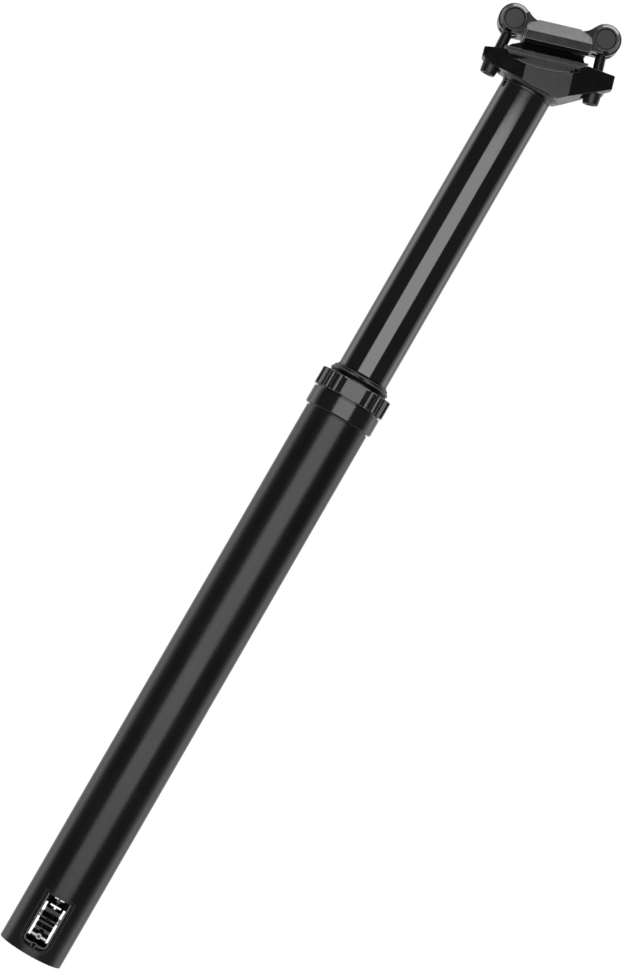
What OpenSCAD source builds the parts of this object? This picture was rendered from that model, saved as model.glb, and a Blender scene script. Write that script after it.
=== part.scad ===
// Telescoping (dropper) bicycle seatpost with a two-bolt saddle clamp.
// Frame: Z runs up the post's axis from the lower end, X points to the rear of the saddle,
// and -Y is the side with the cable window. Millimetres and degrees throughout.

/* [Outer tube] */
// Diameter of the outer tube, which is the frame's seat tube bore
tube_d = 31.6; // [27.2:0.1:38]
// Length of the outer tube that shows below the collar
tube_len = 285; // [230:1:360]
// Wall of the outer tube
tube_wall = 2.2; // [1.8:0.1:2.6]
// Space between the outer and the inner tube, filled by the slide bushings
slide_gap = 1.1; // [0.9:0.05:1.4]

/* [Inner tube] */
// Distance the saddle drops
travel = 150; // [100:1:180]
// Wall of the inner tube
inner_wall = 1.5; // [1.3:0.1:1.8]
// Length of the inner tube that stays in the outer tube when the post is up
overlap = 82; // [76:1:100]

/* [Collar] */
// Width of the plain collar ring's wall outside the outer tube
collar_wall = 1.4; // [1.1:0.1:2]
// Height of the plain collar ring
collar_h = 9.6; // [8:0.1:12]
// Wall of the seal nut outside the outer tube
nut_wall = 2.7; // [2.2:0.1:3.4]
// Height of the seal nut
nut_h = 8.6; // [7.6:0.1:10.5]
// Number of flats round the seal nut, with fine flutes between each pair
nut_flats = 4; // [3:1:6]

/* [Head] */
// Angle between the saddle rails and a square across the post
head_lean = 17; // [13:0.5:21]
// Height of the clamp's reference plane above the end of the inner tube
head_rise = 19.7; // [18.7:0.1:24]
// Radius of the curved seat that the lower cradle slides on
seat_r = 50; // [44:1:60]
// Distance between the rear and the front barrel nut
barrel_span = 43.4; // [41:0.1:50]
// Diameter of the barrel nuts
barrel_d = 10; // [9:0.1:11]
// Diameter of the clamp bolts
bolt_d = 5; // [4.5:0.1:5.5]

/* [Saddle rails] */
// Distance between the centres of the two saddle rails
rail_gap = 44; // [42:0.5:48]
// Diameter of a saddle rail
rail_d = 7; // [6:0.1:8]
// Length of the upper clamp along the rails
clamp_len = 30.8; // [28:0.1:34]
// Length of the lower cradle along the rails
cradle_len = 39.3; // [36:0.1:42]

/* [Cable release] */
// Width of the window in the outer tube
window_w = 13.2; // [12.6:0.1:14]
// Height of the window
window_h = 25.8; // [24.6:0.1:27]
// Diameter of the cable housing's ferrule
ferrule_d = 5; // [4:0.1:6]

/* [Hidden] */
$fn = 96;

// Fits
fit = 0.03;       // gap of parts that are screwed or bonded together
run = 0.05;       // gap of parts that slide or turn on each other
thread_gap = 0.3; // gap round the clamp bolts' threads, for the nuts' small sideways error

// Outer tube and what it holds
tube_r = tube_d/2;
bore_r = tube_r - tube_wall;
base_r = bore_r + 0.2;          // wider bore that holds the actuator base
base_top = 50;
tube_top = tube_len + 5;
collar_seat_r = tube_r - 0.4;   // turned down where the collar sits, with a shadow gap below it
collar_gap = 0.7;
collar_gap_r = tube_r - 0.8;
bush_r = bore_r + 0.6;          // seat of the upper bushing
bush_h = 19.5;
edge = 0.6;
floor_z = 2.2;                  // underside of the actuator base
window_z = 3.6;
window_corner = 4.5;
window_rim = 1;                 // shallow step round the window
window_rim_depth = 0.4;
snap_h = 1;

// Inner tube
inner_r = bore_r - slide_gap;
inner_bore = inner_r - inner_wall;
key_r = 1.3;
key_h = 12;
key_count = 3;
key_offset = inner_r + 0.4;

// Collar
collar_r = tube_r + collar_wall;
nut_r = tube_r + nut_wall;
nut_z = tube_len + collar_h;
nut_top = nut_z + nut_h;
nut_bore = inner_r + 0.9;
skirt_r = bush_r + 0.6;
skirt_h = 4.2;
flat_half = 5;                  // half of a flat's width
flute_step = 13.5;              // angle from one flute to the next
flute_r = 1.6;
groove_h = 0.9;                 // shadow gap between the plain ring and the nut
groove_d = 1.1;
wiper_seat_r = inner_r + 2;
wiper_h = 5.1;
wiper_top = nut_top + wiper_h;

// Heights along the post when it is up
neck_z = wiper_top + travel + 2;
neck_fillet = 3.2;
plate_z = neck_z + neck_fillet;       // flat underside of the head
inner_bottom = tube_top - overlap;
bush_groove_z = inner_bottom + 21;
bush_groove_h = 18;
key_z = inner_bottom + 4;

// Gas cartridge
cart_r = inner_bore - 1.5;
cart_wall = 1.2;
cart_bore = cart_r - cart_wall;
liner_r = cart_bore - 1.4;
liner_wall = 0.7;
liner_bore = liner_r - liner_wall;
rod_r = 4;
stub_r = 5;
nose_r = 3.5;
valve_top = base_top + 12;
guide_h = 12;
piston_h = 8;
piston_nut_h = 5;
piston_bottom = valve_top + 9 + travel + piston_nut_h;
guide_z = piston_bottom + piston_h + 4;
cart_top = guide_z + guide_h;
valve_pin_r = 1.5;
lock_nut_z = 27.4;
lock_nut_h = 3;

// Cable release
pivot_y = -5;
pivot_z = 17.4;
arm_x = 4.6;                    // middle of a lever arm
arm_t = 1.1;
cheek_x = arm_x + arm_t/2 + 0.2;
lock_nut_r = cheek_x - 0.3;
pocket_corner = 1.6;
pocket_step = 0.45;             // step round the pocket's edge
pocket_z = floor_z + 3.5;
arm_front = -12.3;
barrel_y = -10.8;
barrel_z = 9.3;
barrel_r = 1.45;
trunnion_r = 0.6;
stop_y = -(base_r - ferrule_d/2 - 0.75);
pin_r = 1.25;

// Head and clamp, in the head's own frame: U along the rails, V square to them
head_z = neck_z + head_rise;
clamp_u = 3.07;                 // middle of the two barrel nuts
barrel_v = 13.25;
barrel_r_nut = barrel_d/2;
boss_r = barrel_r_nut + 2.5;
boss_y = 9;
front_u = clamp_u - barrel_span/2;
rear_u = clamp_u + barrel_span/2;
front_lean = 14;
rear_lean = 0;
front_reach = 22.4;             // barrel nut to washer seat along the bolt
rear_reach = 24.8;
bolt_r = bolt_d/2;
front_tip = front_u - front_reach*sin(front_lean) - 5.25;
rear_tip = rear_u + rear_reach*sin(rear_lean) + 8.23;
bolt_head_h = 5.4;
washer_r = 4.9;
washer_y = 4.8;
swing = 8;                      // room for each bolt to swing either way
seat_v = -8;                    // lowest point of the curved seat
seat_u = -0.1;
seat_y = 14.2;
rail_v = -0.25;
rail_y = rail_gap/2;
rail_r = rail_d/2;
lip = 2.25;                     // half of the open gap between the clamp's lips
lip_bevel = 1.1;
wing_y = rail_y + 4;
cradle_u = -1.15;
cradle_floor = -6;
block_len = 25.6;               // curved block under the cradle
block_top = 5.2;

// Points of an arc about [cx, cy]
function arc(cx, cy, r, a0, a1, n = 12) =
  [for (i = [0:n]) let (a = a0 + (a1 - a0)*i/n) [cx + r*cos(a), cy + r*sin(a)]];

// Puts a shape drawn in the head's frame into the part's frame
module in_head() translate([0, 0, head_z]) rotate([0, -head_lean, 0]) children();

// Extrudes a U-V outline from y0 to y1
module across(y0, y1) translate([0, y1, 0]) rotate([90, 0, 0]) linear_extrude(y1 - y0) children();

// Extrudes a Y-V outline from u0 to u1
module along(u0, u1) translate([u0, 0, 0]) rotate([90, 0, 90]) linear_extrude(u1 - u0) children();

// Ring with chamfered outer edges
module ring(r_out, r_in, z0, z1, c = 0.3) rotate_extrude()
  polygon([[r_in, z0], [r_out - c, z0], [r_out, z0 + c], [r_out, z1 - c], [r_out - c, z1], [r_in, z1]]);

// Disc or rod with chamfered edges
module rod(r, z0, z1, c = 0.3) rotate_extrude()
  polygon([[0, z0], [r - c, z0], [r, z0 + c], [r, z1 - c], [r - c, z1], [0, z1]]);

module hex_socket(across_flats, depth) cylinder(d = across_flats/cos(30), h = depth, $fn = 6);

// A bolt's own frame: origin at the washer seat's axis, Z up towards the barrel nut
module at_bolt(u, lean, reach) in_head() translate([u, 0, barrel_v])
  rotate([0, lean, 0]) translate([0, 0, -reach]) children();
module at_front_bolt() at_bolt(front_u, front_lean, front_reach) children();
module at_rear_bolt() at_bolt(rear_u, rear_lean, rear_reach) children();

/* ---- Outer tube and collar ---- */

module window_outline(grow) {
  w = window_w/2 + grow;
  r = window_corner + grow;
  top = window_z + window_h + grow;
  polygon(concat([[-w, top], [w, top]],
    [for (p = arc(w - r, window_z - grow + r, r, 0, -90)) p],
    [for (p = arc(-w + r, window_z - grow + r, r, -90, -180)) p]));
}

module lower_tube() color("#1c1c1e") difference() {
  rotate_extrude() polygon([[bore_r, 0], [tube_r, 0], [tube_r, tube_len - collar_gap],
    [collar_gap_r, tube_len - collar_gap], [collar_gap_r, tube_len], [collar_seat_r, tube_len],
    [collar_seat_r, tube_top - edge], [collar_seat_r - edge, tube_top], [bore_r, tube_top]]);
  translate([0, 0, -1]) cylinder(r = base_r, h = base_top + 1);
  translate([0, 0, floor_z - snap_h - 0.1]) cylinder(r = base_r + 0.7, h = snap_h + 0.1);
  translate([0, 0, tube_top - bush_h - 0.5]) cylinder(r = bush_r, h = bush_h + 1);
  for (i = [0:key_count - 1]) rotate([0, 0, 90 + i*360/key_count])
    translate([key_offset, 0, base_top + 2])
      cylinder(r = key_r + run, h = tube_top - bush_h - base_top - 4, $fn = 32);
  across(-tube_r - 1, -base_r + 3) window_outline(0);
  intersection() {
    across(-tube_r - 1, 0) window_outline(window_rim);
    difference() {
      cylinder(r = tube_r + 1, h = base_top);
      translate([0, 0, -1]) cylinder(r = tube_r - window_rim_depth, h = base_top + 2);
    }
  }
}

module collar_base() color("#141416") difference() {
  rotate_extrude() polygon([[skirt_r + fit, tube_len], [collar_r - 0.7, tube_len],
    [collar_r - 0.2, tube_len + 0.2], [collar_r, tube_len + 0.7],
    [collar_r, nut_z - groove_h], [collar_r - groove_d, nut_z - groove_h],
    [collar_r - groove_d, nut_z - 0.05], [skirt_r + fit, nut_z - 0.05]]);
  translate([0, 0, tube_len - 1]) cylinder(r = collar_seat_r + fit, h = tube_top - tube_len + 1 + fit);
}

module collar_oring() color("#0c0c0c") rotate_extrude()
  translate([skirt_r - 0.45, nut_z - skirt_h + 1.3]) circle(r = 0.4, $fn = 24);

module collar_nut() color("#141416") difference() {
  pitch = 360/nut_flats;
  flutes = floor((pitch - 2*asin(flat_half/nut_r) - 4.6)/flute_step);
  union() {
    rotate_extrude() polygon([[nut_bore, nut_z], [nut_r - 0.5, nut_z], [nut_r, nut_z + 0.5],
      [nut_r, nut_top - 0.6], [nut_r - 0.6, nut_top], [nut_bore, nut_top]]);
    ring(skirt_r, nut_bore, nut_z - skirt_h, nut_z + 1);
  }
  for (i = [0:nut_flats - 1]) rotate([0, 0, i*pitch - 90]) {
    translate([sqrt(nut_r*nut_r - flat_half*flat_half), -nut_r, nut_z - 1]) cube([nut_r, 2*nut_r, nut_h + 2]);
    for (k = [1:flutes]) rotate([0, 0, pitch/2 + (k - (flutes + 1)/2)*flute_step])
      translate([nut_r + 0.9, 0, nut_z - 0.03]) cylinder(r = flute_r, h = nut_h + 1, $fn = 24);
  }
  translate([0, 0, nut_top - 4]) cylinder(r = wiper_seat_r, h = 5);
  rotate_extrude() translate([skirt_r - 0.1, nut_z - skirt_h + 1.3]) square([1.6, 1], center = true);
}

module dust_wiper() color("#0d0d0e") rotate_extrude() {
  inner = inner_r + run;
  polygon([[inner + 0.6, nut_top - 3.9], [wiper_seat_r - fit, nut_top - 3.9],
    [wiper_seat_r - fit, nut_top + 0.6], [inner + 2.45, nut_top + 2],
    [inner + 2.4, nut_top + 2.3], [inner + 1.5, nut_top + 3.3], [inner + 1.5, nut_top + 3.9],
    [inner + 1.2, nut_top + 4.2], [inner + 0.5, nut_top + 4.4], [inner + 0.35, wiper_top],
    [inner, wiper_top], [inner, nut_top + 3.2], [inner + 0.6, nut_top + 2.2]]);
}

module upper_bushing() color("#8a8f94")
  ring(bush_r - fit, inner_r + run, tube_top - bush_h, nut_z - skirt_h - 0.1, 0.2);

/* ---- Actuator base and cable release ---- */

module pocket_outline(grow = 0) {
  w = cheek_x + grow;
  r = pocket_corner + grow;
  bottom = pocket_z - grow;
  top = lock_nut_z + lock_nut_h;
  polygon(concat([[-w, top], [w, top]],
    arc(w - r, bottom + r, r, 0, -90), arc(-w + r, bottom + r, r, -90, -180)));
}

module actuator_base() color("#2a2a2d") difference() {
  rod(base_r - fit, floor_z, base_top - fit, 0.4);
  across(-base_r - 1, 7) pocket_outline();
  across(-base_r - 1, -sqrt(base_r*base_r - cheek_x*cheek_x) + pocket_step) pocket_outline(pocket_step);
  translate([0, pivot_y, pivot_z]) rotate([0, 90, 0])
    cylinder(r = pin_r + fit, h = 3*base_r, center = true, $fn = 32);
  translate([0, 0, lock_nut_z + lock_nut_h - 1]) cylinder(r = nose_r + run, h = base_top);
  translate([0, 0, 34]) cylinder(r = stub_r + fit, h = base_top);
  translate([0, 0, base_top - 4]) cylinder(r = cart_r + fit, h = 5);
  // housing stop, with the slot that lets the inner cable in from the window
  translate([0, stop_y, floor_z - 1]) cylinder(d = ferrule_d + 2*run, h = 2.3, $fn = 48);
  translate([-1, -base_r - 1, floor_z - 1]) cube([2, base_r + 1 + stop_y, pocket_z]);
}

module base_snap_ring() color("#6f7376") difference() {
  ring(base_r + 0.6, base_r - 1.6, floor_z - snap_h - 0.03, floor_z - 0.05, 0.1);
  translate([-4.5, -base_r - 3, -1]) cube([9, 7, 4]);
}

module bottom_bumper() color("#303033")
  ring(bore_r - 0.4, cart_r + 0.3, base_top + 0.02, base_top + 4, 0.6);

module lever_pivot_pin() color("#a9adb0") translate([0, pivot_y, pivot_z]) rotate([0, 90, 0])
  translate([0, 0, -10]) rod(pin_r, 0, 20, 0.2);

// Torsion spring round the pivot pin, as close turns and two legs
module lever_spring() color("#b9bcbf") translate([0, pivot_y, pivot_z]) {
  wire_r = 0.3;
  coil_r = pin_r + 0.15;
  translate([-2.5*1.8*wire_r, 0, 0]) rotate([0, 90, 0]) rotate_extrude() polygon(concat([[coil_r, 0]],
    [for (i = [0:4]) each [[coil_r + wire_r, i*1.8*wire_r], [coil_r + 2*wire_r, (i + 0.3)*1.8*wire_r],
      [coil_r + 2*wire_r, (i + 0.7)*1.8*wire_r], [coil_r + wire_r, (i + 1)*1.8*wire_r]]],
    [[coil_r, 5*1.8*wire_r]]));
  translate([4.1*wire_r, coil_r + wire_r, 0]) cylinder(r = wire_r, h = 3.2, $fn = 24);
  translate([-4.1*wire_r, coil_r + wire_r, -5.6]) cylinder(r = wire_r, h = 5.6, $fn = 24);
}

// Side outline of a lever arm: a front leg down to the barrel, a horn above it and a rear leg to the pad
module lever_arm() {
  hull() {
    translate([pivot_y, pivot_z]) circle(r = 2.6, $fn = 32);
    translate([arm_front + 0.9, pivot_z + 0.2]) circle(r = 0.9, $fn = 24);
    translate([arm_front + 0.9, barrel_z - 0.6]) circle(r = 0.9, $fn = 24);
    translate([barrel_y + 0.6, barrel_z - 0.6]) circle(r = 0.9, $fn = 24);
  }
  hull() {
    translate([pivot_y, pivot_z]) circle(r = 2.6, $fn = 32);
    translate([arm_front + 1.6, pivot_z + 3.6]) circle(r = 0.8, $fn = 24);
    translate([arm_front + 1.6, pivot_z + 7.6]) circle(r = 0.8, $fn = 24);
    translate([arm_front + 3.6, pivot_z + 7.6]) circle(r = 0.8, $fn = 24);
  }
  hull() {
    translate([pivot_y, pivot_z]) circle(r = 2.6, $fn = 32);
    translate([0.2, pivot_z + 3.4]) circle(r = 1.1, $fn = 24);
  }
}

module actuator_lever() color("#c9ccd0") difference() {
  union() {
    for (side = [-1, 1]) translate([side*arm_x - arm_t/2, 0, 0])
      rotate([90, 0, 90]) linear_extrude(arm_t) lever_arm();
    // pad under the valve pin
    translate([-arm_x, -1.2, pivot_z + 2.5]) cube([2*arm_x, 2.4, 1.9]);
    // web with the cable notch
    translate([-arm_x, -10.6, pivot_z - 5.7]) cube([2*arm_x, 2.2, 1.6]);
    // upper stiffening rib
    translate([-arm_x, -10.2, pivot_z - 2]) cube([2*arm_x, 1.2, 0.9]);
  }
  translate([0, pivot_y, pivot_z]) rotate([0, 90, 0])
    cylinder(r = pin_r + run, h = 30, center = true, $fn = 32);
  translate([0, barrel_y, barrel_z]) rotate([0, 90, 0])
    cylinder(r = trunnion_r + run, h = 30, center = true, $fn = 24);
  translate([0, -9.5, pivot_z - 5.9]) rotate([90, 0, 0]) linear_extrude(4, center = true)
    polygon([[-1.7, 0], [1.7, 0], [0.4, 1.4], [-0.4, 1.4]]);
}

module cable_barrel() color("#e4e4e2") translate([0, barrel_y, barrel_z]) difference() {
  union() {
    sphere(r = barrel_r, $fn = 40);
    rotate([0, 90, 0]) translate([0, 0, -arm_x - 0.4])
      cylinder(r = trunnion_r, h = 2*arm_x + 0.8, $fn = 24);
  }
  cylinder(r = 0.45, h = 6, center = true, $fn = 24);
  rotate([90, 0, 0]) cylinder(r = 0.75, h = 4, $fn = 24);
}

module barrel_set_screw() color("#4a4c50") translate([0, barrel_y, barrel_z]) rotate([90, 0, 0]) difference() {
  translate([0, 0, 0.5]) cylinder(r = 0.72, h = barrel_r - 0.55, $fn = 24);
  translate([0, 0, 0.9]) hex_socket(0.7, 2);
}

/* ---- Gas cartridge ---- */

module cartridge_tube() color("#b4b8bb") ring(cart_r, cart_bore, base_top - 3.9, cart_top, 0.3);

module cartridge_liner() color("#c7cacc") ring(liner_r, liner_bore, valve_top - 3, guide_z + 3, 0.2);

module cartridge_valve_body() color("#7d8185") difference() {
  union() {
    rod(cart_bore - fit, base_top - 3.9, valve_top, 0.3);
    rod(stub_r, 34 + fit, base_top - 3, 0.3);
    rod(nose_r, lock_nut_z - 1.6, 36, 0.3);
  }
  translate([0, 0, lock_nut_z - 3]) cylinder(r = valve_pin_r + run, h = 60, $fn = 32);
  difference() {
    translate([0, 0, valve_top - 3 - fit]) cylinder(r = liner_r + fit, h = 4);
    translate([0, 0, valve_top - 4]) cylinder(r = liner_bore - fit, h = 6);
  }
}

module cartridge_lock_nut() color("#d9dbdc") difference() {
  translate([0, 0, lock_nut_z]) cylinder(r = lock_nut_r, h = lock_nut_h - 0.05, $fn = 6);
  translate([0, 0, lock_nut_z - 1]) cylinder(r = nose_r + fit, h = lock_nut_h + 2);
  for (i = [0:5]) rotate([0, 0, 30 + i*60])
    translate([nose_r - 0.5, -0.4, lock_nut_z - 0.1]) cube([3, 0.8, 1.6]);
}

module rod_guide() color("#3a3a3d") difference() {
  rod(cart_bore - fit, guide_z, cart_top, 0.4);
  translate([0, 0, guide_z - 1]) cylinder(r = rod_r + run, h = 30);
  difference() {
    translate([0, 0, guide_z - 1]) cylinder(r = liner_r + fit, h = 4 + fit);
    translate([0, 0, guide_z - 2]) cylinder(r = liner_bore - fit, h = 6);
  }
  translate([0, 0, cart_top - 5]) cylinder(r = rod_r + 2, h = 3.2);
}

module rod_seal() color("#111111")
  ring(rod_r + 2 - fit, rod_r + run, cart_top - 5 + fit, cart_top - 1.8 - fit, 0.4);

module valve_pin() color("#dadcdd") union() {
  rod(valve_pin_r, lock_nut_z - 3.5, valve_top + 2, 0.4);
  rod(1.9, pivot_z + 4.75, lock_nut_z - 3.6, 0.3);
  // collar with two flats
  intersection() {
    rod(3.4, lock_nut_z - 4, lock_nut_z - 3.2, 0.15);
    translate([-5, -1.9, 0]) cube([10, 3.8, lock_nut_z]);
  }
}

/* ---- Inner tube, piston and head ---- */

module upper_tube() color("#0f0f11") difference() {
  rotate_extrude() polygon([[inner_bore, inner_bottom + 0.3], [inner_bore + 0.3, inner_bottom],
    [inner_r - 0.4, inner_bottom], [inner_r, inner_bottom + 0.4],
    [inner_r, bush_groove_z], [inner_r - 0.5, bush_groove_z],
    [inner_r - 0.5, bush_groove_z + bush_groove_h],
    [inner_r, bush_groove_z + bush_groove_h], [inner_r, neck_z - 0.3],
    [inner_r - 0.2, neck_z - 0.05], [inner_bore, neck_z - 0.05]]);
  for (i = [0:key_count - 1]) rotate([0, 0, 90 + i*360/key_count])
    translate([key_offset, 0, key_z - fit]) cylinder(r = key_r, h = key_h + 2*fit, $fn = 32);
}

module anti_rotation_keys() color("#b08d3f")
  for (i = [0:key_count - 1]) rotate([0, 0, 90 + i*360/key_count])
    translate([key_offset, 0, 0]) rod(key_r - fit, key_z, key_z + key_h, 0.2, $fn = 32);

module lower_bushing() color("#8a8f94") difference() {
  ring(bore_r - run, inner_r - 0.5 + fit, bush_groove_z + fit, bush_groove_z + bush_groove_h - fit, 0.2);
  translate([0, -0.5, bush_groove_z - 1]) cube([40, 1, bush_groove_h + 2]);
}

module piston_rod() color("#d4d7d9") difference() {
  union() {
    rod(rod_r, piston_bottom + piston_h, neck_z - 6, 0.3);
    rod(2.5, piston_bottom - piston_nut_h, piston_bottom + piston_h + 1, 0.3);
  }
  translate([0, 0, neck_z - 20]) cylinder(r = 3 + fit, h = 20, $fn = 48);
}

module piston() color("#9a9da0") difference() {
  ring(liner_bore - run, 2.5 + fit, piston_bottom, piston_bottom + piston_h - 0.02, 0.3);
  translate([0, 0, piston_bottom + 2.8]) difference() {
    cylinder(r = liner_bore + 1, h = 2.4);
    translate([0, 0, -1]) cylinder(r = liner_bore - 1.2, h = 5);
  }
}

module piston_seal() color("#101010")
  ring(liner_bore - run, liner_bore - 1.2 + fit, piston_bottom + 2.8 + fit, piston_bottom + 5.2 - fit, 0.3);

module piston_nut() color("#8b8e91") difference() {
  translate([0, 0, piston_bottom - 4]) cylinder(d = 8.6, h = 4 - fit, $fn = 6);
  translate([0, 0, piston_bottom - 5]) cylinder(r = 2.5 + fit, h = 6, $fn = 32);
}

module topout_bumper() color("#3c3c3f")
  ring(liner_bore - 0.5, rod_r + 0.1, piston_bottom + piston_h + 0.02, guide_z - 0.5, 0.4);

module rod_bolt() color("#2c2d30") difference() {
  union() {
    rod(3, neck_z - 18, neck_z + 3, 0.3, $fn = 48);
    rod(4.9, neck_z + 2.5, neck_z + 7, 0.4, $fn = 48);
  }
  translate([0, 0, neck_z + 4]) hex_socket(5, 4);
}

// Side outline of the head: two wings that carry the bolts, with the seat's pocket between them
module head_outline() polygon([[front_tip, -2], [-18, -1.2], [16, -1.2], [rear_tip, -2], [rear_tip, -8.3],
  [8.5, -19.7], [-15, -22], [front_tip + 4.8, -9.6], [front_tip, -6.6]]);

// Outline of the head from above: narrow at the bolt ends, wide over the inner tube
module head_plan() {
  near = [[front_tip - 0.1, -4.4], [front_tip + 1.9, -5.6], [-9, -seat_y], [13.3, -seat_y],
    [rear_tip - 2, -5.4], [rear_tip + 0.1, -4.3]];
  polygon(concat(near, [for (i = [len(near) - 1:-1:0]) [near[i].x, -near[i].y]]));
}

// Hole and head room for a bolt that swings about its washer seat
module bolt_room(up) {
  across(-bolt_r - 0.35, bolt_r + 0.35) polygon([[-bolt_r - 0.5, -1], [bolt_r + 0.5, -1],
    [bolt_r + 0.4 + up*tan(swing), up], [-bolt_r - 0.4 - up*tan(swing), up]]);
  rotate([90, 0, 0]) cylinder(r = washer_r + run, h = 2*washer_y + 0.2, center = true);
  across(-washer_y - 0.1, washer_y + 0.1)
    polygon([[-washer_r, 0], [washer_r, 0], [washer_r + 1.4, -14], [-washer_r - 1.4, -14]]);
}

module head() color("#121214") difference() {
  union() {
    difference() {
      in_head() intersection() {
        across(-seat_y, seat_y) head_outline();
        translate([0, 0, -30]) linear_extrude(40) head_plan();
      }
      translate([-50, -50, plate_z - 40]) cube([100, 100, 40]);
    }
    // fillet down to the inner tube
    intersection() {
      rotate_extrude() polygon(concat([[0, plate_z + 0.1], [0, neck_z], [inner_r, neck_z]],
        arc(inner_r + neck_fillet, neck_z, neck_fillet, 180, 90, 8), [[inner_r + neck_fillet, plate_z + 0.1]]));
      translate([-50, -seat_y, neck_z - 1]) cube([100, 2*seat_y, neck_fillet + 2]);
    }
    // spigot bonded into the inner tube
    rod(inner_bore - fit, neck_z - 22, neck_z + 1, 0.4);
  }
  // keep the underside clear of the inner tube
  translate([0, 0, neck_z - 30]) difference() {
    cylinder(r = 40, h = 30);
    translate([0, 0, -1]) cylinder(r = inner_bore - fit, h = 32);
  }
  in_head() {
    intersection() {
      translate([seat_u, 0, seat_v + seat_r]) rotate([90, 0, 0])
        cylinder(r = seat_r, h = 60, center = true, $fn = 200);
      across(-30, 30) polygon([[-17.9, -12], [15.9, -12], [15.9, 2], [-17.9, 2]]);
    }
  }
  at_front_bolt() bolt_room(12);
  at_rear_bolt() bolt_room(14);
  translate([0, 0, neck_z - 30]) cylinder(r = rod_r + fit, h = 24.1);
  translate([0, 0, neck_z - 10]) cylinder(r = 3 + 0.1, h = 20, $fn = 48);
  translate([0, 0, neck_z + 2.45]) cylinder(r = 5.2, h = 20, $fn = 48);
}

/* ---- Saddle clamp ---- */

module rail_bores() for (side = [-1, 1])
  translate([-40, side*rail_y, rail_v]) rotate([0, 90, 0]) cylinder(r = rail_r, h = 80);

// Side outline of the cradle's outer rails: a tray with bevelled ends
module cradle_side() {
  h = cradle_len/2;
  polygon([[cradle_u - h, rail_v - lip], [cradle_u - h, rail_v - lip - 0.5], [cradle_u - h + 3, cradle_floor],
    [cradle_u + h - 3.9, cradle_floor], [cradle_u + h, rail_v - lip - 0.5], [cradle_u + h, rail_v - lip]]);
}

module lower_cradle() color("#151517") in_head() difference() {
  groove_z = rail_v - lip;
  u0 = cradle_u - cradle_len/2;
  u1 = cradle_u + cradle_len/2;
  b0 = cradle_u - block_len/2;
  b1 = cradle_u + block_len/2;
  union() {
    // outer trays that hold the rails, joined by a plate under the middle
    for (side = [-1, 1]) intersection() {
      across(-wing_y, wing_y) cradle_side();
      along(-30, 30) polygon([[side*(wing_y - lip_bevel), groove_z], [side*wing_y, groove_z - lip_bevel/2],
        [side*wing_y, cradle_floor + 0.9], [side*(wing_y - 0.9), cradle_floor],
        [side*(seat_y + 0.3), cradle_floor], [side*(seat_y + 0.3), groove_z]]);
    }
    along(b0, b1) translate([-seat_y - 1, groove_z - 1.2]) square([2*seat_y + 2, 1.2]);
    // block that fills the middle between the rails
    across(-seat_y, seat_y)
      polygon([[b0, -12], [b1, -12], [b1, 2.2], [b1 - 4, block_top], [b0 + 4, block_top], [b0, 2.2]]);
    // inner lips of the rail grooves
    intersection() {
      across(-wing_y, wing_y) polygon([[u0 + 1, groove_z - 1.2], [u0 + 1, groove_z], [u0 + 3, -0.3],
        [cradle_u - 10, 2.7], [cradle_u + 9, 2.7], [u1 - 2.5, 0.6], [u1 - 1, groove_z],
        [u1 - 1, groove_z - 1.2]]);
      for (side = [-1, 1]) along(-40, 40)
        polygon([[side*(seat_y + 0.3), groove_z - 1.2], [side*(seat_y + 0.3), 2.2], [side*(seat_y + 0.8), 2.7],
          [side*(seat_y + 1.6), 2.7], [side*(seat_y + 2.4), 1.6], [side*(rail_y - rail_r + 0.6), groove_z],
          [side*(rail_y - rail_r + 0.6), groove_z - 1.2]]);
    }
    translate([b0, -seat_y - 0.4, groove_z - 1.2]) cube([block_len, 2*seat_y + 0.8, 1.2 + lip + 2]);
  }
  // underside that slides on the head's seat
  difference() {
    translate([-60, -seat_y - 0.2, -40]) cube([120, 2*seat_y + 0.4, 60]);
    translate([-60, -seat_y - 1, cradle_floor + 2.4]) cube([120, 2*seat_y + 2, 60]);
    translate([seat_u, 0, seat_v + seat_r]) rotate([90, 0, 0])
      cylinder(r = seat_r - run, h = 60, center = true, $fn = 200);
  }
  rail_bores();
}

// Side outline of the neck and bosses of the upper clamp
module clamp_neck() {
  flat_v = 14.2;
  fillet = 9.6;
  reach = sqrt(pow(boss_r + fillet, 2) - pow(flat_v - barrel_v + fillet, 2));
  a = acos(reach/(boss_r + fillet));
  polygon(concat([[front_u, barrel_v - boss_r + 0.6], [rear_u, barrel_v - boss_r + 0.6]],
    [[rear_u, barrel_v]], [[rear_u - boss_r*cos(a), barrel_v + boss_r*sin(a)]],
    arc(rear_u - reach, flat_v + fillet, fillet, -a, -90),
    arc(front_u + reach, flat_v + fillet, fillet, -90, a - 180),
    [[front_u, barrel_v]]));
}

// Roof of the upper clamp from the side, with rounded ends
module roof_side() {
  h = clamp_len/2;
  m = clamp_u - 0.45;
  bottom = rail_v + lip;
  half = [[h, bottom + 0.4], [h, 9.8], [h - 0.5, 11.4], [h - 1.6, 12.9], [h - 3.2, 14], [h - 5, 14.8],
    [h - 5.6, 17]];
  polygon(concat([[m - h + 0.4, bottom], [m + h - 0.4, bottom]], [for (p = half) [m + p.x, p.y]],
    [for (i = [len(half) - 1:-1:0]) [m - half[i].x, half[i].y]]));
}

module roof_section() {
  bottom = rail_v + lip;
  inner_lip = rail_y - rail_r - 0.6;
  half = [[inner_lip - 2.6, bottom + 3.6], [inner_lip - 0.6, bottom],
    [wing_y - lip_bevel, bottom], [wing_y, bottom + lip_bevel/2], [wing_y, 6.3],
    [wing_y - 0.7, 7.1], [boss_y - 0.3, 14.3], [6.4, 15.3], [3, 16], [1.2, 16.2]];
  polygon(concat(half, [for (i = [len(half) - 1:-1:0]) [-half[i].x, half[i].y]]));
}

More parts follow.
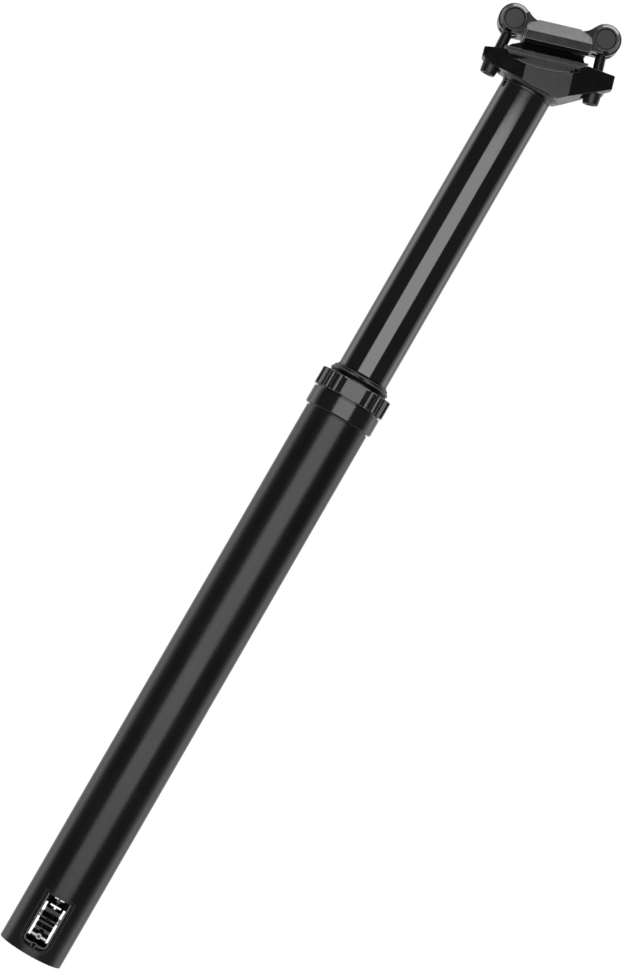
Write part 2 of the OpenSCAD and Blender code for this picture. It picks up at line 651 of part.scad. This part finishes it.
module nut_boss(u) translate([u, 0, barrel_v]) rotate([90, 0, 0]) rotate_extrude() {
  half = [[boss_r, boss_y - 2.9], [boss_r - 0.7, boss_y - 2.2], [boss_r - 2, boss_y]];
  polygon(concat(half, [[0, boss_y], [0, -boss_y]],
    [for (i = [len(half) - 1:-1:0]) [half[i].x, -half[i].y]]));
}

// Room for a bolt through a boss, above and below its barrel nut
module boss_slot(u, lean) translate([u, 0, barrel_v]) rotate([0, lean, 0])
  across(-bolt_r - 0.35, bolt_r + 0.35) {
    x0 = bolt_r + 0.5;
    polygon([[-x0, 0], [x0, 0], [x0 + 12*tan(swing + 6), -12], [-x0 - 12*tan(swing + 6), -12]]);
    polygon([[-x0, 0], [x0, 0], [x0 + 1.2, 9], [-x0 - 1.2, 9]]);
  }

module upper_clamp() color("#17171a") in_head() difference() {
  union() {
    across(-boss_y + 0.5, boss_y - 0.5) clamp_neck();
    nut_boss(front_u);
    nut_boss(rear_u);
    intersection() {
      across(-wing_y, wing_y) roof_side();
      along(-30, 40) roof_section();
    }
  }
  for (u = [front_u, rear_u]) translate([u, 0, barrel_v]) rotate([90, 0, 0])
    cylinder(r = barrel_r_nut + run, h = 3*boss_y, center = true);
  boss_slot(front_u, front_lean);
  boss_slot(rear_u, rear_lean);
  rail_bores();
}

module barrel_nut(u, lean) color("#1e1e21") in_head()
  translate([u, 0, barrel_v]) rotate([0, lean, 0]) difference() {
  rotate([90, 0, 0]) translate([0, 0, -boss_y + 0.4]) rod(barrel_r_nut, 0, 2*boss_y - 0.8, 0.5);
  cylinder(r = bolt_r + thread_gap, h = 30, center = true, $fn = 64);
}
module barrel_nut_front() barrel_nut(front_u, front_lean);
module barrel_nut_rear() barrel_nut(rear_u, rear_lean);

// Half-round washer that lets a bolt swing in its wing
module seat_washer() color("#8f9397") difference() {
  intersection() {
    rotate([90, 0, 0]) cylinder(r = washer_r, h = 2*washer_y, center = true);
    translate([-20, -20, 0]) cube([40, 40, 20]);
  }
  cylinder(r = bolt_r + 0.15, h = 30, center = true, $fn = 64);
}
module seat_washer_front() at_front_bolt() seat_washer();
module seat_washer_rear() at_rear_bolt() seat_washer();

module clamp_bolt(reach) color("#111113") difference() {
  union() {
    rod(bolt_r, -1, reach + barrel_r_nut + 1.2, 0.4, $fn = 64);
    translate([0, 0, -bolt_head_h]) rotate_extrude() polygon([[0, 0], [3.3, 0], [3.7, 0.4],
      [4.3, bolt_head_h - 0.3], [4.1, bolt_head_h - fit], [0, bolt_head_h - fit]]);
  }
  translate([0, 0, -bolt_head_h - 1]) hex_socket(4, 3.6);
}
module clamp_bolt_front() at_front_bolt() clamp_bolt(front_reach);
module clamp_bolt_rear() at_rear_bolt() clamp_bolt(rear_reach);

lower_tube();
collar_base();
collar_oring();
collar_nut();
dust_wiper();
upper_bushing();
actuator_base();
base_snap_ring();
bottom_bumper();
lever_pivot_pin();
lever_spring();
cartridge_tube();
cartridge_liner();
cartridge_valve_body();
cartridge_lock_nut();
rod_guide();
rod_seal();
valve_pin();
actuator_lever();
cable_barrel();
barrel_set_screw();
upper_tube();
head();
lower_bushing();
anti_rotation_keys();
piston_rod();
piston();
piston_seal();
piston_nut();
topout_bumper();
rod_bolt();
lower_cradle();
upper_clamp();
barrel_nut_front();
barrel_nut_rear();
seat_washer_front();
seat_washer_rear();
clamp_bolt_front();
clamp_bolt_rear();
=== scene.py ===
"""Looks for the dropper seatpost: camera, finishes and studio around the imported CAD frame."""
import math

import bpy
from mathutils import Matrix, Vector

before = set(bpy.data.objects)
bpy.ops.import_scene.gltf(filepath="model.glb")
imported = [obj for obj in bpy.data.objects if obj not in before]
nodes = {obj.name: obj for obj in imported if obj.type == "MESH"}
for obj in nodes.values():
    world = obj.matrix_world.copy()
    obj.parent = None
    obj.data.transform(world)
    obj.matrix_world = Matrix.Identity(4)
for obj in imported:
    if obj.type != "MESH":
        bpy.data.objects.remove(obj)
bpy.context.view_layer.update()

MM = 0.001


# ---------------------------------------------------------------- camera

CAMERA_PLACE = Vector((0.0075, -1.553, 0.2173))
CAMERA_TARGET = Vector((0.0075, 0.0, 0.2538))
CAMERA_ROLL = 30.0      # degrees, so that the upright post leans in the picture
CAMERA_LENS = 123.9     # focal length in mm, and so is the sensor width
SENSOR_WIDTH = 36.0
CLIP_START = 0.01


def make_camera():
    data = bpy.data.cameras.new("camera")
    data.lens = CAMERA_LENS
    data.sensor_width = SENSOR_WIDTH
    data.clip_start = CLIP_START
    camera = bpy.data.objects.new("camera", data)
    bpy.context.scene.collection.objects.link(camera)
    look = (CAMERA_TARGET - CAMERA_PLACE).to_track_quat("-Z", "Y").to_matrix().to_4x4()
    roll = Matrix.Rotation(math.radians(CAMERA_ROLL), 4, "Z")
    camera.matrix_world = Matrix.Translation(CAMERA_PLACE) @ look @ roll
    bpy.context.scene.camera = camera


# ---------------------------------------------------------------- node helpers

NOISE_LOW = 0.3         # a noise's values lie mostly between these two
NOISE_HIGH = 0.7
EDGE_SAMPLES = 12
ROUND_SAMPLES = 10


def grey(value, cool=0.0):
    """A grey whose blue is higher than its red and green by cool."""
    return (value, value, value + cool)


def shade(color, factor):
    """The colour made darker or paler by the factor."""
    return tuple(channel * factor for channel in color)


class Graph:
    """A material's node tree, with short calls for the nodes that the finishes share."""

    def __init__(self, name):
        self.material = bpy.data.materials.new(name)
        self.material.use_nodes = True
        self.tree = self.material.node_tree
        self.shader = self.tree.nodes["Principled BSDF"]
        self.place = self.new("ShaderNodeTexCoord").outputs["Object"]

    def new(self, kind, **settings):
        node = self.tree.nodes.new(kind)
        for key, value in settings.items():
            setattr(node, key, value)
        return node

    def link(self, source, target):
        self.tree.links.new(source, target)

    def put(self, value, socket):
        """Links a node's output to the socket, or sets the socket to a colour or a number."""
        if isinstance(value, bpy.types.NodeSocket):
            self.link(value, socket)
        elif isinstance(value, tuple):
            socket.default_value = (*value, 1.0)
        else:
            socket.default_value = value

    def stretched(self, scale):
        """The place in the frame with each axis scaled, which stretches a noise made from it."""
        mapping = self.new("ShaderNodeMapping")
        mapping.inputs["Scale"].default_value = scale
        self.link(self.place, mapping.inputs["Vector"])
        return mapping.outputs["Vector"]

    def distance(self, axes):
        """How far the place is from the frame's origin, counting only the axes given as 1."""
        length = self.new("ShaderNodeVectorMath", operation="LENGTH")
        self.link(self.stretched(axes), length.inputs[0])
        return length.outputs["Value"]

    def noise(self, scale, detail, vector=None):
        node = self.new("ShaderNodeTexNoise")
        node.inputs["Scale"].default_value = scale
        node.inputs["Detail"].default_value = detail
        self.link(vector or self.place, node.inputs["Vector"])
        return node.outputs["Fac"]

    def remap(self, value, low, high, to_low=0.0, to_high=1.0):
        node = self.new("ShaderNodeMapRange")
        node.inputs["From Min"].default_value = low
        node.inputs["From Max"].default_value = high
        node.inputs["To Min"].default_value = to_low
        node.inputs["To Max"].default_value = to_high
        self.link(value, node.inputs["Value"])
        return node.outputs["Result"]

    def spread(self, noise, to_low=0.0, to_high=1.0):
        """A noise's usual values spread over the range from to_low to to_high."""
        return self.remap(noise, NOISE_LOW, NOISE_HIGH, to_low, to_high)

    def math(self, operation, a, b):
        node = self.new("ShaderNodeMath", operation=operation)
        self.put(a, node.inputs[0])
        self.put(b, node.inputs[1])
        return node.outputs["Value"]

    def blend(self, factor, a, b):
        """Colour a where the factor is 0, and colour b where it is 1."""
        node = self.new("ShaderNodeMix", data_type="RGBA")
        self.link(factor, node.inputs["Factor"])
        colors = {socket.name: socket for socket in node.inputs if socket.type == "RGBA"}
        self.put(a, colors["A"])
        self.put(b, colors["B"])
        return next(socket for socket in node.outputs if socket.type == "RGBA")

    def rounded(self, radius, samples=ROUND_SAMPLES):
        """The surface's normal with its edges rounded to the radius."""
        bevel = self.new("ShaderNodeBevel", samples=samples)
        bevel.inputs["Radius"].default_value = radius
        return bevel.outputs["Normal"]

    def edges(self, radius, low=0.02, high=0.25):
        """1 on sharp edges and 0 on flats, from how far the rounded normal leans."""
        dot = self.new("ShaderNodeVectorMath", operation="DOT_PRODUCT")
        self.link(self.rounded(radius, EDGE_SAMPLES), dot.inputs[0])
        self.link(self.new("ShaderNodeNewGeometry").outputs["Normal"], dot.inputs[1])
        lean = self.math("SUBTRACT", 1.0, dot.outputs["Value"])
        return self.remap(lean, low, high)

    def bump(self, height, strength, depth, normal=None):
        node = self.new("ShaderNodeBump")
        node.inputs["Strength"].default_value = strength
        node.inputs["Distance"].default_value = depth
        self.link(height, node.inputs["Height"])
        if normal is not None:
            self.link(normal, node.inputs["Normal"])
        return node.outputs["Normal"]

    def finish(self, color, roughness, normal, **plain):
        """Feeds the shader. plain has the sockets that are one number all over, _ for a space."""
        self.put(color, self.shader.inputs["Base Color"])
        self.put(roughness, self.shader.inputs["Roughness"])
        self.put(normal, self.shader.inputs["Normal"])
        for name, value in plain.items():
            self.shader.inputs[name.replace("_", " ")].default_value = value
        return self.material


# ---------------------------------------------------------------- finishes

FINE_DEPTH = 0.01 * MM              # bump depth of machining marks and of ripples in paint
GRAIN_DEPTH = 0.02 * MM             # bump depth of grain and of rubber's skin
ANY_WAY = (1.0, 1.0, 1.0)           # marks with no direction
ROUND_MARKS = (0.05, 0.05, 1.5)     # marks that run round a turned part
FROM_MIDDLE = (1.0, 0.0, 0.0)       # counts the distance from the plane x = 0
FROM_AXIS = (1.0, 1.0, 0.0)         # counts the distance from the post's axis


def satin_black_tube():
    """Satin anodised outer tube: fine grain, and faint lengthwise rub marks from the clamp."""
    g = Graph("satin_black_tube")
    grain = g.noise(2600.0, 2.0)
    rubs = g.noise(300.0, 4.0, g.stretched((1.0, 1.0, 0.03)))
    cloud = g.noise(28.0, 4.0)
    # edges painted paler: partly rubbed anodising, partly a painted highlight
    edge_wear_and_highlight = g.math("MULTIPLY", g.edges(0.4 * MM), 0.3)
    clean = g.blend(g.spread(cloud), grey(0.006, cool=0.0005), grey(0.009, cool=0.0005))
    color = g.blend(edge_wear_and_highlight, clean, grey(0.2, cool=0.01))
    rough = g.math("ADD", g.spread(rubs, 0.24, 0.29), g.spread(cloud, -0.02, 0.02))
    return g.finish(color, rough, g.bump(grain, 0.18, GRAIN_DEPTH, g.rounded(0.25 * MM)))


def gloss_black_tube():
    """Gloss hard-anodised inner tube: nearly mirror smooth, with hairline marks round it."""
    g = Graph("gloss_black_tube")
    hair = g.noise(900.0, 3.0, g.stretched((0.05, 0.05, 2.2)))
    cloud = g.noise(40.0, 3.0)
    hairline = g.remap(hair, 0.35, 0.65, 0.07, 0.10)
    rough = g.math("ADD", hairline, g.spread(cloud, -0.01, 0.015))
    color = g.blend(g.spread(cloud), grey(0.007, cool=0.001), grey(0.010, cool=0.001))
    return g.finish(color, rough, g.bump(hair, 0.03, FINE_DEPTH), IOR=1.85)


def machined_black(name, base, rough_low, rough_high, edge_highlight_strength):
    """Machined and anodised black: turning marks, and soft edges with the finish rubbed thin and a
    painted highlight along them.
    """
    g = Graph(name)
    turning = g.noise(1400.0, 2.0, g.stretched((0.02, 0.02, 1.5)))
    cloud = g.noise(120.0, 3.0)
    # edges painted paler: partly a rubbed-thin finish, partly a painted highlight
    edge_wear_and_highlight = g.math("MULTIPLY", g.edges(0.4 * MM), edge_highlight_strength)
    clean = g.blend(g.spread(cloud), shade(grey(base), 0.85), shade(grey(base), 1.25))
    color = g.blend(edge_wear_and_highlight, clean, grey(0.28, cool=0.01))
    rough = g.math("ADD", g.spread(cloud, rough_low, rough_high), g.math("MULTIPLY", edge_wear_and_highlight, 0.1))
    normal = g.bump(turning, 0.04, FINE_DEPTH, g.rounded(0.3 * MM))
    return g.finish(color, rough, normal, IOR=1.65)


def forged_black(name, base, rough_low, rough_high, edge_highlight_strength, edge_highlight_tone):
    """Semi-gloss paint over a forging: a soft ripple and specks in the paint, and rubbed edges with
    a painted highlight along them.
    """
    g = Graph(name)
    ripple = g.noise(220.0, 2.0)
    speck = g.noise(2200.0, 2.0)
    # edges painted paler: partly rubbed paint, partly a painted highlight
    edge_wear_and_highlight = g.math("MULTIPLY", g.edges(0.5 * MM), edge_highlight_strength)
    clean = g.blend(g.spread(ripple), shade(grey(base), 0.85), shade(grey(base), 1.2))
    color = g.blend(edge_wear_and_highlight, clean, grey(edge_highlight_tone))
    rough = g.spread(ripple, rough_low, rough_high)
    height = g.math("ADD", g.math("MULTIPLY", ripple, 0.6), g.math("MULTIPLY", speck, 0.4))
    normal = g.bump(height, 0.012, FINE_DEPTH, g.rounded(0.5 * MM))
    return g.finish(color, rough, normal, IOR=1.6)


def black_oxide():
    """Black oxide steel: slightly mottled and oily, with rubbed edges that also carry a painted
    highlight.
    """
    g = Graph("black_oxide")
    mottle = g.noise(900.0, 4.0)
    # edges painted paler: partly rubbed oxide, partly a painted highlight
    edge_wear_and_highlight = g.math("MULTIPLY", g.edges(0.3 * MM), 0.5)
    clean = g.blend(g.spread(mottle), grey(0.014, cool=0.001), grey(0.03, cool=0.001))
    color = g.blend(edge_wear_and_highlight, clean, grey(0.35))
    rough = g.spread(mottle, 0.24, 0.36)
    normal = g.bump(mottle, 0.06, GRAIN_DEPTH, g.rounded(0.3 * MM))
    return g.finish(color, rough, normal, Metallic=0.35)


def rubber(name, base, roughness):
    """Rubber with a fine pebbled skin and a dusty bloom."""
    g = Graph(name)
    skin = g.noise(1800.0, 3.0)
    bloom = g.noise(160.0, 4.0)
    color = g.blend(g.remap(bloom, 0.35, 0.75), grey(base), shade(grey(base), 1.4))
    rough = g.spread(skin, roughness - 0.06, roughness + 0.08)
    return g.finish(color, rough, g.bump(skin, 0.04, GRAIN_DEPTH))


def metal(name, color, rough_low, rough_high, brush=ANY_WAY):
    """Bare metal with softened edges, and machining marks that brush can give a direction."""
    g = Graph(name)
    marks = g.noise(1200.0, 3.0, g.stretched(brush))
    cloud = g.noise(200.0, 3.0)
    tone = g.blend(g.spread(marks), shade(color, 0.82), color)
    rough = g.math("ADD", g.spread(marks, rough_low, rough_high), g.spread(cloud, -0.03, 0.03))
    return g.finish(tone, rough, g.bump(marks, 0.06, FINE_DEPTH, g.rounded(0.2 * MM)), Metallic=1.0)


def steel_with_painted_shade(name, painted_shade_color, steel_color, axes, painted_shade_end, steel_start):
    """Steel painted dark as shade near the middle, out to the end of the shaded part, and bright
    steel from where the steel starts outwards.
    axes says which way the distance from the middle is counted."""
    g = Graph(name)
    marks = g.noise(1200.0, 3.0)
    # painted shade near the middle, plain steel further out
    tone = g.blend(g.remap(g.distance(axes), painted_shade_end, steel_start), painted_shade_color, steel_color)
    rough = g.spread(marks, 0.24, 0.36)
    return g.finish(tone, rough, g.bump(marks, 0.06, FINE_DEPTH), Metallic=1.0)


def housing_black():
    """Dull black housing that barely reflects, with a painted highlight along its edges."""
    g = Graph("housing_black")
    base = grey(0.003)
    grain = g.noise(1500.0, 2.0)
    clean = g.blend(g.spread(grain), shade(base, 0.8), shade(base, 1.2))
    # the edges are painted pale grey as a highlight
    color = g.blend(g.edges(0.4 * MM, high=0.15), clean, grey(0.45))
    rough = g.spread(grain, 0.4, 0.5)
    return g.finish(color, rough, g.bump(grain, 0.05, GRAIN_DEPTH), Specular_IOR_Level=0.12)


def fine_grained(name, color, roughness):
    """An even surface with a fine grain: moulded bearing plastic, or a pale dull plating."""
    g = Graph(name)
    grain = g.noise(1500.0, 2.0)
    cloud = g.noise(90.0, 3.0)
    tone = g.blend(g.spread(cloud), shade(color, 0.85), color)
    rough = g.spread(grain, roughness - 0.05, roughness + 0.07)
    return g.finish(tone, rough, g.bump(grain, 0.15, GRAIN_DEPTH, g.rounded(0.2 * MM)))


# ---------------------------------------------------------------- which piece wears what

def tube_finishes():
    return [
        (satin_black_tube(), ["lower_tube"]),
        (gloss_black_tube(), ["upper_tube"]),
        (machined_black("gloss_black_machined", 0.009, 0.12, 0.18, edge_highlight_strength=0.12),
         ["collar_base", "collar_nut"]),
        (rubber("wiper_rubber", 0.004, 0.24), ["dust_wiper"]),
        (rubber("seal_rubber", 0.008, 0.4), ["collar_oring", "rod_seal", "piston_seal"]),
        (rubber("bumper_rubber", 0.03, 0.6), ["bottom_bumper", "topout_bumper"]),
        (fine_grained("bushing_plastic", (0.33, 0.34, 0.36), 0.42),
         ["upper_bushing", "lower_bushing", "rod_guide"]),
        (metal("brass_key", (0.62, 0.45, 0.18), 0.25, 0.35), ["anti_rotation_keys"]),
    ]


def release_finishes():
    # the lever's middle webs are painted dark as the shade of the recess, its side arms bright
    # steel
    lever_steel = steel_with_painted_shade("lever_steel", grey(0.05, cool=0.002), grey(0.85, cool=0.01),
                               FROM_MIDDLE, painted_shade_end=3.7 * MM, steel_start=4.0 * MM)
    # the valve pin is painted dark as shade near its axis, and bright steel at its rim
    pin_steel = steel_with_painted_shade("valve_pin_steel", grey(0.03), grey(0.8, cool=0.01),
                             FROM_AXIS, painted_shade_end=1.82 * MM, steel_start=1.88 * MM)
    return [
        (housing_black(), ["actuator_base"]),
        (lever_steel, ["actuator_lever"]),
        (pin_steel, ["valve_pin"]),
        (fine_grained("plated_zinc", grey(0.88, cool=0.01), 0.3), ["cable_barrel"]),
        (metal("dark_steel", grey(0.09, cool=0.003), 0.3, 0.42, ROUND_MARKS),
         ["base_snap_ring", "lever_pivot_pin", "lever_spring", "cartridge_valve_body",
          "barrel_set_screw"]),
    ]


def cartridge_finishes():
    return [
        (metal("bright_steel", grey(0.62, cool=0.01), 0.22, 0.34),
         ["cartridge_lock_nut", "piston_nut"]),
        (metal("turned_aluminium", (0.72, 0.73, 0.74), 0.25, 0.36, ROUND_MARKS),
         ["cartridge_tube", "cartridge_liner", "piston"]),
        (metal("hard_chrome", grey(0.8, cool=0.01), 0.06, 0.12, ROUND_MARKS), ["piston_rod"]),
    ]


def clamp_finishes():
    return [
        # the clamp's edges carry the strongest painted highlight, the head's a fainter one
        (forged_black("head_black", 0.005, 0.20, 0.28, edge_highlight_strength=0.5, edge_highlight_tone=0.2), ["head"]),
        (forged_black("clamp_black", 0.006, 0.15, 0.22, edge_highlight_strength=0.9, edge_highlight_tone=0.5),
         ["lower_cradle", "upper_clamp"]),
        (machined_black("barrel_nut_black", 0.012, 0.3, 0.4, edge_highlight_strength=0.3),
         ["barrel_nut_front", "barrel_nut_rear"]),
        (metal("washer_steel", (0.25, 0.26, 0.27), 0.3, 0.42),
         ["seat_washer_front", "seat_washer_rear"]),
        (black_oxide(), ["clamp_bolt_front", "clamp_bolt_rear", "rod_bolt"]),
    ]


def dress():
    looks = tube_finishes() + release_finishes() + cartridge_finishes() + clamp_finishes()
    finish_of = {name: finish for finish, names in looks for name in names}
    for name, node in nodes.items():
        node.data.materials.clear()
        node.data.materials.append(finish_of[name])


# ---------------------------------------------------------------- lights

def area_light(name, place, target, width, height, radiance):
    """A rectangle of light that faces the target and looks as bright as radiance says."""
    data = bpy.data.lights.new(name, "AREA")
    data.shape = "RECTANGLE"
    data.size = width
    data.size_y = height
    data.energy = radiance * math.pi * width * height
    lamp = bpy.data.objects.new(name, data)
    bpy.context.scene.collection.objects.link(lamp)
    lamp.location = place
    lamp.rotation_euler = (place - target).to_track_quat("Z", "Y").to_euler()


def softbox(name, azimuth, middle_z, distance, width, height, radiance):
    """An upright softbox that faces the post. Azimuth 0 is the camera's side, 90 its right."""
    angle = math.radians(azimuth)
    middle = Vector((0.0, 0.0, middle_z))
    out = Vector((math.sin(angle), -math.cos(angle), 0.0))
    area_light(name, middle + out * distance, middle, width, height, radiance)


def make_lights():
    softbox("front", azimuth=1.4, middle_z=0.2475, distance=1.9,
            width=2.05, height=0.995, radiance=2.4)
    softbox("side_right", azimuth=118.0, middle_z=0.25, distance=1.4,
            width=0.56, height=1.9, radiance=0.6)
    softbox("side_left", azimuth=-115.0, middle_z=0.25, distance=1.4,
            width=0.60, height=1.9, radiance=0.7)
    area_light("top", Vector((0.0, 0.25, 1.15)), Vector((0.0, 0.0, 0.48)),
               width=0.7, height=0.7, radiance=2.2)


# ---------------------------------------------------------------- world

DARK_FRONT = 0.05       # what a reflected ray meets at the camera's side of the studio
WHITE_BACKDROP = 0.6    # what a reflected ray meets at the back
FILL = 0.35             # what other rays that leave the object meet
WHITE = 1.0             # what the camera sees behind the object
BACKDROP_FROM = -0.05   # the ray's y from which the backdrop starts to show
BACKDROP_FULL = 0.2     # the ray's y from which only the backdrop shows


def make_world():
    """White behind the object and even light on it, with a dark front for reflections."""
    world = bpy.data.worlds.new("studio")
    bpy.context.scene.world = world
    world.use_nodes = True
    tree = world.node_tree
    tree.nodes.clear()

    def background(strength):
        node = tree.nodes.new("ShaderNodeBackground")
        node.inputs["Color"].default_value = (1.0, 1.0, 1.0, 1.0)
        node.inputs["Strength"].default_value = strength
        return node.outputs[0]

    def mix(factor, a, b):
        node = tree.nodes.new("ShaderNodeMixShader")
        for value, socket in zip((factor, a, b), node.inputs):
            tree.links.new(value, socket)
        return node.outputs[0]

    direction = tree.nodes.new("ShaderNodeSeparateXYZ")
    tree.links.new(tree.nodes.new("ShaderNodeTexCoord").outputs["Generated"], direction.inputs[0])
    back = tree.nodes.new("ShaderNodeMapRange")
    back.interpolation_type = "SMOOTHSTEP"
    back.inputs["From Min"].default_value = BACKDROP_FROM
    back.inputs["From Max"].default_value = BACKDROP_FULL
    tree.links.new(direction.outputs["Y"], back.inputs["Value"])

    path = tree.nodes.new("ShaderNodeLightPath")
    glossy_or_clear = tree.nodes.new("ShaderNodeMath")
    glossy_or_clear.operation = "MAXIMUM"
    tree.links.new(path.outputs["Is Glossy Ray"], glossy_or_clear.inputs[0])
    tree.links.new(path.outputs["Is Transmission Ray"], glossy_or_clear.inputs[1])

    reflected = mix(back.outputs["Result"], background(DARK_FRONT), background(WHITE_BACKDROP))
    indirect = mix(glossy_or_clear.outputs[0], background(FILL), reflected)
    final = mix(path.outputs["Is Camera Ray"], indirect, background(WHITE))
    tree.links.new(final, tree.nodes.new("ShaderNodeOutputWorld").inputs["Surface"])


# ---------------------------------------------------------------- floor

FLOOR_Z = -0.12
FLOOR_RADIUS = 0.42
FLOOR_SIDES = 96
FADE_START = 0.3 * FLOOR_RADIUS     # from here the floor fades out to plain white
FADE_END = 0.95 * FLOOR_RADIUS


def floor_finish():
    """Pale matte floor that fades to white towards its rim."""
    g = Graph("floor")
    grain = g.noise(60.0, 3.0)
    color = g.blend(g.spread(grain), grey(0.84), grey(0.88))
    finish = g.finish(color, 0.7, g.bump(grain, 0.02, 0.2 * MM))
    white = g.new("ShaderNodeEmission")
    white.inputs["Strength"].default_value = 1.0
    mix = g.new("ShaderNodeMixShader")
    g.link(g.remap(g.distance(FROM_AXIS), FADE_START, FADE_END), mix.inputs[0])
    g.link(g.shader.outputs[0], mix.inputs[1])
    g.link(white.outputs[0], mix.inputs[2])
    g.link(mix.outputs[0], g.tree.nodes["Material Output"].inputs["Surface"])
    return finish


def make_floor():
    """A round floor below the post, which is held up over it; it keeps the post's shadow."""
    angles = [2 * math.pi * side / FLOOR_SIDES for side in range(FLOOR_SIDES)]
    rim = [(FLOOR_RADIUS * math.cos(a), FLOOR_RADIUS * math.sin(a), FLOOR_Z) for a in angles]
    mesh = bpy.data.meshes.new("floor")
    mesh.from_pydata(rim, [], [tuple(range(FLOOR_SIDES))])
    mesh.materials.append(floor_finish())
    floor = bpy.data.objects.new("floor", mesh)
    bpy.context.scene.collection.objects.link(floor)


# ---------------------------------------------------------------- scene

make_camera()
dress()
bpy.context.scene.view_settings.view_transform = "Standard"
make_world()
make_floor()
make_lights()
